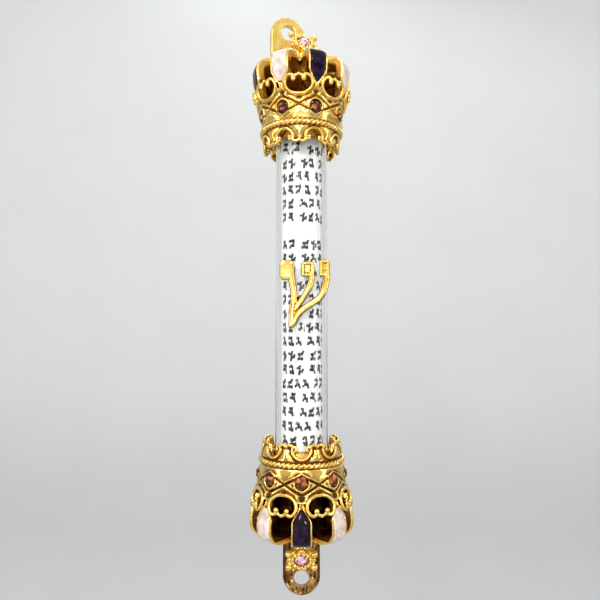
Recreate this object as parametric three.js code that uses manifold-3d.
// Mezuzah case: a glass tube that holds a rolled scroll, closed at each end by the same jewelled
// openwork crown. Each crown carries enamel inlays, faceted stones, a flower finial with a gem, and
// a flat hanging tab that is nailed to a doorpost. Millimetres, +Z up along the tube, -Y to the
// front, origin on the wall plane at the back of the lower tab.
import * as THREE from 'three';
import { mergeVertices } from 'three/addons/utils/BufferGeometryUtils.js';
import Module from 'manifold-3d';

const wasm = await Module();
wasm.setup();

// Driving dimensions. A height in a crown is measured from the middle of the case outwards.
const GAP = 0.3;                 // clearance between neighbouring pieces
const TUBE_RADIUS = 7;
const TUBE_WALL = 1;
const TUBE_HALF_LENGTH = 49.5;
const SCROLL_RADIUS = 5.55;
const SCROLL_WALL = 0.9;
const SCROLL_LENGTH = 98;
const CUP_WALL = 1.1;
const CUP_MOUTH_HEIGHT = 40.8;
const CUP_FLOOR = 1.5;
const RIM_HEIGHT = 38.7;         // open rim of the crown's collar
const BAND_TOP_HEIGHT = 53;      // where the collar ends and the open arches begin
const BAND_TOP_INNER_RADIUS = 10.6;
const DOME_HEIGHT = 63.8;        // top of the closed dome
const DOME_RADIUS = 6;
const DOME_THICKNESS = 2.2;
const SECTORS = 8;
const STRAP_WIDTH = 5.2;
const STRAP_THICKNESS = 2.5;
const BACK_WALL_DEPTHS = [1.2, 2.1];   // faces of the closed back, below the straps' outer face
const BACK_WALL_FOOT = [[10.1, 49.8], [11, 49.8]];
const ENAMEL_WIDTH = 4;
const ENAMEL_THICKNESS = 0.8;
const ENAMEL_GAP = 0.25;
const STONE_RADIUS = 1.5;
const STONE_HEIGHT = 47.7;
const STONE_SEAT_RADIUS = 11.2;  // distance of a stone's girdle from the tube's axis
const STONE_SEAT_DEPTH = 1.2;
const SCALLOP_HALF_WIDTH = 2.6;  // bays in the collar's rim, one below each stone
const SCALLOP_DEPTH = 3.4;
const SCALLOP_FROM = 7.5;        // distance from the axis at which the cut begins
const LOOP_HEIGHT = 52.9;
const LOOP_HALF_WIDTH = 3.9;
const LOOP_HALF_HEIGHT = 2.65;
const LOOP_RIM = 0.82;
const LOOP_BACK = 10.8;          // distances of a loop's two faces from the axis
const LOOP_FRONT = 12.3;
const WINDOW_FROM = 9.6;
const BEYOND = 14;               // farther out than any part of the crown
const FINIAL_TILT = 25;          // degrees that the flower leans outwards from facing the front
const FINIAL_CENTRE = [0, -2.05, 69.5];
const BEAD_ACROSS = 3.4;         // finial bead, sideways from the gem
const BEAD_ALONG = 2.25;         // finial bead, along the tube from the gem
const BEAD_RADIUS = 0.85;
const ARM_WIDTH = 1;             // the arms that carry the beads
const ARM_THICKNESS = 0.9;
const ARM_HEIGHT = -0.7;
const GEM_RADIUS = 1.6;
const BOWL_FLOOR = -1.1;         // finial bowl, measured from the gem's girdle
const BOWL_RIM = 0.4;
const FOOT_RADIUS = 2.2;
const STEM_RADIUS = 1.2;
const WALL_DISTANCE = 13.8;      // tube axis to the wall
const TAB_THICKNESS = 1.8;
const TAB_WIDTH = 10.5;
const TAB_FOOT_HEIGHT = 56.5;
const TAB_END_HEIGHT = 84.5;
const TAB_HOLE_HEIGHT = 79.9;
const TAB_HOLE_RADIUS = 2.2;
const TAB_MOUNT_HEIGHT = 72;
const UPPER_CROWN_TURN = 19;     // degrees that the upper crown is turned on the tube
const EMBLEM_THICKNESS = 1.3;

const BORE_RADIUS = TUBE_RADIUS + GAP + CUP_WALL + GAP;
const CUP_TOP_HEIGHT = TUBE_HALF_LENGTH + GAP + CUP_FLOOR;
const SECTOR_ANGLE = 360 / SECTORS;

const metal = (color, roughness) => ({ color, roughness, metalness: 1 });
const GOLD = metal(0xe6b43c, 0.22);
const ANTIQUE_GOLD = metal(0x9a6a28, 0.4);
const PURPLE_ENAMEL = { color: 0x24123a, roughness: 0.12, metalness: 0 };
const CREAM_ENAMEL = { color: 0xeae0da, roughness: 0.18, metalness: 0 };
const AMBER = { color: 0x7d3a12, roughness: 0.08, metalness: 0 };
const PINK_CRYSTAL = { color: 0xdc9fc6, roughness: 0.06, metalness: 0 };
const CLEAR_GLASS = { color: 0xf0f5f5, roughness: 0.05, metalness: 0, transparent: true, opacity: 0.35 };
const PAPER = { color: 0xf4f2ee, roughness: 0.8, metalness: 0 };
const CUP_BRASS = metal(0xa8742a, 0.35);

// ---- solids -----------------------------------------------------------------------------------

function toSolid(geometry) {
  const bare = geometry.clone();
  bare.deleteAttribute('normal');
  bare.deleteAttribute('uv');
  const merged = mergeVertices(bare, 1e-4);
  const index = merged.index.array;
  const triangles = [];
  for (let i = 0; i < index.length; i += 3) {
    const [a, b, c] = [index[i], index[i + 1], index[i + 2]];
    if (a !== b && b !== c && c !== a) triangles.push(a, b, c);
  }
  return new wasm.Manifold(new wasm.Mesh({
    numProp: 3,
    vertProperties: Float32Array.from(merged.attributes.position.array),
    triVerts: Uint32Array.from(triangles),
  }));
}

function toGeometry(solid) {
  const mesh = solid.getMesh();
  const geometry = new THREE.BufferGeometry();
  geometry.setAttribute('position', new THREE.BufferAttribute(mesh.vertProperties, 3));
  geometry.setIndex(new THREE.BufferAttribute(mesh.triVerts, 1));
  geometry.computeVertexNormals();
  return geometry;
}

const join = (first, ...others) => others.reduce((sum, part) => sum.add(part), first);

// A turned solid about +Z. The profile is a list of [radius, height], anticlockwise.
function turned(profile, segments, closed = true) {
  const points = profile.map(([radius, height]) => new THREE.Vector2(radius, height));
  if (closed) points.push(points[0].clone());
  return toSolid(new THREE.LatheGeometry(points, segments).rotateX(Math.PI / 2));
}

// Shape X runs sideways to the right, shape Y along the tube, and depth towards the front.
const FACING = new THREE.Matrix4().makeBasis(
  new THREE.Vector3(1, 0, 0), new THREE.Vector3(0, 0, 1), new THREE.Vector3(0, -1, 0));
// Shape X runs out from the axis towards the front, shape Y along the tube, and depth sideways.
const SIDEWAYS = new THREE.Matrix4().makeBasis(
  new THREE.Vector3(0, -1, 0), new THREE.Vector3(0, 0, 1), new THREE.Vector3(-1, 0, 0));

function outwards(shape, from, to, curveSegments = 8) {
  const options = { depth: to - from, bevelEnabled: false, curveSegments };
  return new THREE.ExtrudeGeometry(shape, options).translate(0, 0, from).applyMatrix4(FACING);
}

function across(shape, width) {
  const options = { depth: width, bevelEnabled: false };
  return new THREE.ExtrudeGeometry(shape, options).translate(0, 0, -width / 2).applyMatrix4(SIDEWAYS);
}

function ellipse(x, y, halfWidth, halfHeight) {
  return new THREE.Shape().absellipse(x, y, halfWidth, halfHeight, 0, 2 * Math.PI);
}

const radians = THREE.MathUtils.degToRad;
const turnedTo = (geometry, azimuth) => toSolid(geometry.clone().rotateZ(radians(azimuth)));
const azimuths = (start) => Array.from({ length: SECTORS }, (_, i) => start + i * SECTOR_ANGLE);

function around(geometry, start) {
  return join(...azimuths(start).map((azimuth) => turnedTo(geometry, azimuth)));
}

function namedMesh(name, geometry, look) {
  const mesh = new THREE.Mesh(geometry, new THREE.MeshStandardMaterial(look));
  mesh.name = name;
  return mesh;
}

// ---- tube, scroll and emblem ------------------------------------------------------------------

function sleeve(outer, wall, bottom, top, segments) {
  const inner = outer - wall;
  return turned([[inner, bottom], [outer, bottom], [outer, top], [inner, top]], segments);
}

const glassTube = () => toGeometry(
  sleeve(TUBE_RADIUS, TUBE_WALL, -TUBE_HALF_LENGTH, TUBE_HALF_LENGTH, 48));

function scroll() {
  const bottom = -TUBE_HALF_LENGTH;
  return toGeometry(sleeve(SCROLL_RADIUS, SCROLL_WALL, bottom, bottom + SCROLL_LENGTH, 32));
}

// A stroke of the emblem: a band of the given half width along a smooth line.
function stroke(points, halfWidths, steps = 10) {
  const line = new THREE.SplineCurve(points.map(([x, y]) => new THREE.Vector2(x, y)));
  const left = [];
  const right = [];
  for (let i = 0; i <= steps; i += 1) {
    const t = i / steps;
    const at = line.getPoint(t);
    const along = line.getTangent(t);
    const [start, end] = halfWidths;
    const side = new THREE.Vector2(-along.y, along.x).multiplyScalar(start + (end - start) * t);
    left.push(at.clone().add(side));
    right.unshift(at.clone().sub(side));
  }
  return new THREE.Shape([...right, ...left]);
}

function block(left, bottom, right, top) {
  return new THREE.Shape([[left, bottom], [right, bottom], [right, top], [left, top]]
    .map(([x, y]) => new THREE.Vector2(x, y)));
}

// The three-armed emblem glued to the front of the tube: three square heads on curved stems
// that run together into one point at the foot.
function emblem() {
  const shapes = [
    block(-5.6, 2.8, -2, 8.1),
    block(-0.1, 3.6, 3.2, 7.9),
    block(4.5, 3.3, 7.1, 8.1),
    stroke([[-2.6, 4], [-2, 0], [-2, -4.2], [-2.5, -9.2]], [1, 0.8]),
    stroke([[2.5, 5], [2, 1.6], [0.3, -1.4], [-1.6, -4.6]], [0.8, 0.7]),
    stroke([[6.4, 4], [5.6, -0.6], [3, -3.4], [-0.4, -5.2], [-2.3, -8.6]], [0.8, 0.9], 14),
  ];
  const back = TUBE_RADIUS + GAP;
  return toGeometry(join(...shapes.map(
    (shape) => toSolid(outwards(shape, back, back + EMBLEM_THICKNESS)))));
}

// ---- crown ------------------------------------------------------------------------------------

// Side view of the outer face of a strap, [distance from the axis, height].
const STRAP_LINE = new THREE.SplineCurve([
  [11.8, 50.6], [12.6, 53.6], [13.3, 56.8], [13.55, 59.6], [13.1, 61.4],
  [11.9, 62.6], [10, 63.3], [7.6, 63.6], [4.4, DOME_HEIGHT],
].map(([x, y]) => new THREE.Vector2(x, y)));

// Points at a depth under the strap's outer face, between two places along its length.
function strapPoints(depth, from, to, steps) {
  return Array.from({ length: steps + 1 }, (_, i) => {
    const t = from + ((to - from) * i) / steps;
    const along = STRAP_LINE.getTangent(t);
    const inwards = new THREE.Vector2(-along.y, along.x);
    return STRAP_LINE.getPoint(t).addScaledVector(inwards, depth);
  });
}

// Side view of a band between two depths.
function strapBand(depthOuter, depthInner, from, to, steps) {
  const outer = strapPoints(depthOuter, from, to, steps);
  const inner = strapPoints(depthInner, from, to, steps).reverse();
  return new THREE.Shape([...outer, ...inner]);
}

const ENAMEL_FROM = 0.27;        // shares of the strap line
const ENAMEL_TO = 0.84;
const CHANNEL_MARGIN = 0.02;

function enamelInlay() {
  const shape = strapBand(0.05, ENAMEL_THICKNESS, ENAMEL_FROM, ENAMEL_TO, 8);
  return toGeometry(toSolid(across(shape, ENAMEL_WIDTH)));
}

// Outside of the collar, [distance from the axis, height].
const COLLAR_OUTSIDE = [
  [9.8, RIM_HEIGHT], [10.5, 42.3], [11.1, 43.3], [10.8, 44.4], [12, BAND_TOP_HEIGHT],
];

function collar() {
  return turned([
    [BORE_RADIUS, RIM_HEIGHT],
    ...COLLAR_OUTSIDE,
    [BAND_TOP_INNER_RADIUS, BAND_TOP_HEIGHT],
    [BORE_RADIUS, CUP_TOP_HEIGHT + GAP],
  ], 32);
}

// The closed back: a thin turned wall under the straps of the half that faces the doorpost.
function backWall() {
  const [outer, inner] = BACK_WALL_DEPTHS.map((depth) => strapPoints(depth, 0.1, 0.97, 7));
  const section = [...outer, ...inner.reverse()].map(({ x, y }) => [x, y]);
  const reach = 2 * BEYOND;
  const backHalf = new THREE.BoxGeometry(reach, BEYOND, reach).translate(0, BEYOND / 2, LOOP_HEIGHT);
  return turned([...BACK_WALL_FOOT, ...section], 32).intersect(toSolid(backHalf));
}

// The one-piece casting: collar with a scalloped rim, loops, eight straps, a closed back and a dome.
function crownCasting() {
  const domeFloor = DOME_HEIGHT - DOME_THICKNESS;
  const shoulder = DOME_HEIGHT - 0.3;
  const dome = turned([[0, domeFloor], [DOME_RADIUS, domeFloor], [DOME_RADIUS, shoulder],
    [DOME_RADIUS - 1, DOME_HEIGHT], [0, DOME_HEIGHT]], 24, false);
  const strap = across(strapBand(0, STRAP_THICKNESS, 0, 1, 10), STRAP_WIDTH);
  const ring = ellipse(0, LOOP_HEIGHT, LOOP_HALF_WIDTH, LOOP_HALF_HEIGHT);
  const loop = outwards(ring, LOOP_BACK, LOOP_FRONT, 6);
  const solid = join(collar(), dome, around(strap, 0), around(loop, SECTOR_ANGLE / 2));

  const bay = ellipse(0, RIM_HEIGHT, SCALLOP_HALF_WIDTH, SCALLOP_DEPTH);
  const scallop = outwards(bay, SCALLOP_FROM, BEYOND, 5);
  const opening = ellipse(0, LOOP_HEIGHT, LOOP_HALF_WIDTH - LOOP_RIM, LOOP_HALF_HEIGHT - LOOP_RIM);
  const window = outwards(opening, WINDOW_FROM, BEYOND, 6);
  const seat = new THREE.Shape().absarc(0, STONE_HEIGHT, STONE_RADIUS + GAP, 0, 2 * Math.PI);
  const stoneSeat = outwards(seat, STONE_SEAT_RADIUS - STONE_SEAT_DEPTH, BEYOND, 5);
  const channelBand = strapBand(-2, ENAMEL_THICKNESS + ENAMEL_GAP,
    ENAMEL_FROM - CHANNEL_MARGIN, ENAMEL_TO + CHANNEL_MARGIN, 8);
  const channel = across(channelBand, ENAMEL_WIDTH + 2 * ENAMEL_GAP);
  const seatDepth = 10;
  const seatLength = 20;
  const tabSeat = new THREE.BoxGeometry(TAB_WIDTH + 2 * GAP, seatDepth, seatLength).translate(
    0,
    WALL_DISTANCE - TAB_THICKNESS - GAP + seatDepth / 2,
    TAB_FOOT_HEIGHT - GAP + seatLength / 2,
  );
  return toGeometry(solid
    .subtract(around(scallop, 0))
    .subtract(around(window, SECTOR_ANGLE / 2))
    .subtract(around(stoneSeat, 0))
    .subtract(around(channel, 0))
    .add(backWall())
    .subtract(toSolid(tabSeat)));
}

// A faceted stone about its own +Z, with its girdle at height 0.
function facetedStone(radius, crown, pavilion) {
  return toGeometry(turned([[0, -pavilion], [radius, -0.15], [radius, 0.1], [0.58 * radius, crown],
    [0, crown]], SECTORS, false));
}

function hangingTab() {
  const half = TAB_WIDTH / 2;
  const shape = new THREE.Shape();
  shape.moveTo(-half, TAB_FOOT_HEIGHT);
  shape.lineTo(half, TAB_FOOT_HEIGHT);
  shape.lineTo(half, TAB_END_HEIGHT - half);
  shape.absarc(0, TAB_END_HEIGHT - half, half, 0, Math.PI);
  shape.holes.push(new THREE.Path().absarc(0, TAB_HOLE_HEIGHT, TAB_HOLE_RADIUS, 0, 2 * Math.PI, true));
  return toGeometry(toSolid(outwards(shape, -WALL_DISTANCE, TAB_THICKNESS - WALL_DISTANCE, 12)));
}

// The flower on the dome: a small bowl that holds the gem, four beads on arms, and a foot.
function finialSetting() {
  const inside = GEM_RADIUS + GAP;
  const room = turned([
    [0, BOWL_FLOOR], [inside, BOWL_FLOOR], [inside, BOWL_RIM + 1], [0, BOWL_RIM + 1],
  ], 24, false);
  const outside = turned([
    [0, -2.6], [STEM_RADIUS, -2.6], [1.7, -1.6], [2.5, -0.2], [2.7, BOWL_RIM], [0, BOWL_RIM],
  ], 24, false);
  const bowl = outside.subtract(room);
  const beads = [];
  for (const x of [-BEAD_ACROSS, BEAD_ACROSS]) {
    for (const y of [-BEAD_ALONG, BEAD_ALONG]) {
      beads.push(toSolid(new THREE.SphereGeometry(BEAD_RADIUS, 8, 6).translate(x, y, 0.1)));
    }
  }
  const armLength = 2 * Math.hypot(BEAD_ACROSS, BEAD_ALONG);
  const armTurn = Math.atan2(BEAD_ALONG, BEAD_ACROSS);
  const arms = [-armTurn, armTurn].map((turn) => {
    const arm = new THREE.BoxGeometry(armLength, ARM_WIDTH, ARM_THICKNESS);
    return toSolid(arm.rotateZ(turn).translate(0, 0, ARM_HEIGHT)).subtract(room);
  });
  const flower = new THREE.Matrix4().makeTranslation(...FINIAL_CENTRE)
    .multiply(new THREE.Matrix4().makeRotationX(-radians(FINIAL_TILT)))
    .multiply(FACING);
  const placed = toSolid(toGeometry(join(bowl, ...beads, ...arms)).applyMatrix4(flower));
  const footing = DOME_HEIGHT + GAP;
  const footHeight = FINIAL_CENTRE[2] + BOWL_FLOOR - footing;
  const foot = new THREE.CylinderGeometry(STEM_RADIUS, FOOT_RADIUS, footHeight, 16)
    .rotateX(Math.PI / 2)
    .translate(0, 0, footing + footHeight / 2);
  return toGeometry(join(placed, toSolid(foot)));
}

function tubeCup() {
  const outer = TUBE_RADIUS + GAP + CUP_WALL;
  const inner = TUBE_RADIUS + GAP;
  const floor = TUBE_HALF_LENGTH + GAP;
  return toGeometry(turned([[0, floor], [inner, floor], [inner, CUP_MOUTH_HEIGHT],
    [outer, CUP_MOUTH_HEIGHT], [outer, CUP_TOP_HEIGHT], [0, CUP_TOP_HEIGHT]], 32, false));
}

const PLACE_NAMES = [
  'front', 'front_right', 'right', 'back_right', 'back', 'back_left', 'left', 'front_left',
];

const casting = crownCasting();
const inlay = enamelInlay();
const amberStone = facetedStone(STONE_RADIUS, 0.8, 0.85);
const finialGem = facetedStone(GEM_RADIUS, 0.7, 0.75);
const finial = finialSetting();
const tab = hangingTab();
const cup = tubeCup();

// One crown, standing open end down. Seen from the front, +X is on the right in the upper crown
// and on the left in the lower one, which is the same casting turned end for end.
function crown(level, isUpper, tabLook) {
  const group = new THREE.Group();
  group.add(
    namedMesh(`${level}_crown`, casting, GOLD),
    namedMesh(`${level}_tube_cup`, cup, CUP_BRASS),
    namedMesh(`${level}_hanging_tab`, tab, tabLook),
    namedMesh(`${level}_finial`, finial, GOLD),
  );

  const gem = namedMesh(`${level}_finial_gem`, finialGem, PINK_CRYSTAL);
  gem.position.set(...FINIAL_CENTRE);
  gem.rotation.x = Math.PI / 2 - radians(FINIAL_TILT);
  group.add(gem);

  azimuths(0).forEach((azimuth, i) => {
    const place = PLACE_NAMES[isUpper ? i : (SECTORS - i) % SECTORS];
    const sector = new THREE.Group();
    sector.rotation.z = radians(azimuth);
    const stone = namedMesh(`${level}_stone_${place}`, amberStone, AMBER);
    stone.position.set(0, -STONE_SEAT_RADIUS, STONE_HEIGHT);
    stone.rotation.x = Math.PI / 2;
    sector.add(stone);
    if (place !== 'back') {
      const look = i % 2 ? CREAM_ENAMEL : PURPLE_ENAMEL;
      sector.add(namedMesh(`${level}_enamel_${place}`, inlay, look));
    }
    group.add(sector);
  });
  return group;
}

// ---- assembly ---------------------------------------------------------------------------------

const upper = crown('upper', true, GOLD);
upper.rotation.z = radians(UPPER_CROWN_TURN);
const lower = crown('lower', false, ANTIQUE_GOLD);
lower.rotation.y = Math.PI;

const mezuzahCase = new THREE.Group();
mezuzahCase.add(
  namedMesh('glass_tube', glassTube(), CLEAR_GLASS),
  namedMesh('scroll', scroll(), PAPER),
  namedMesh('front_emblem', emblem(), GOLD),
  upper,
  lower,
);
mezuzahCase.position.set(0, -WALL_DISTANCE, TAB_MOUNT_HEIGHT);

const model = new THREE.Group();
model.add(mezuzahCase);

export default model;
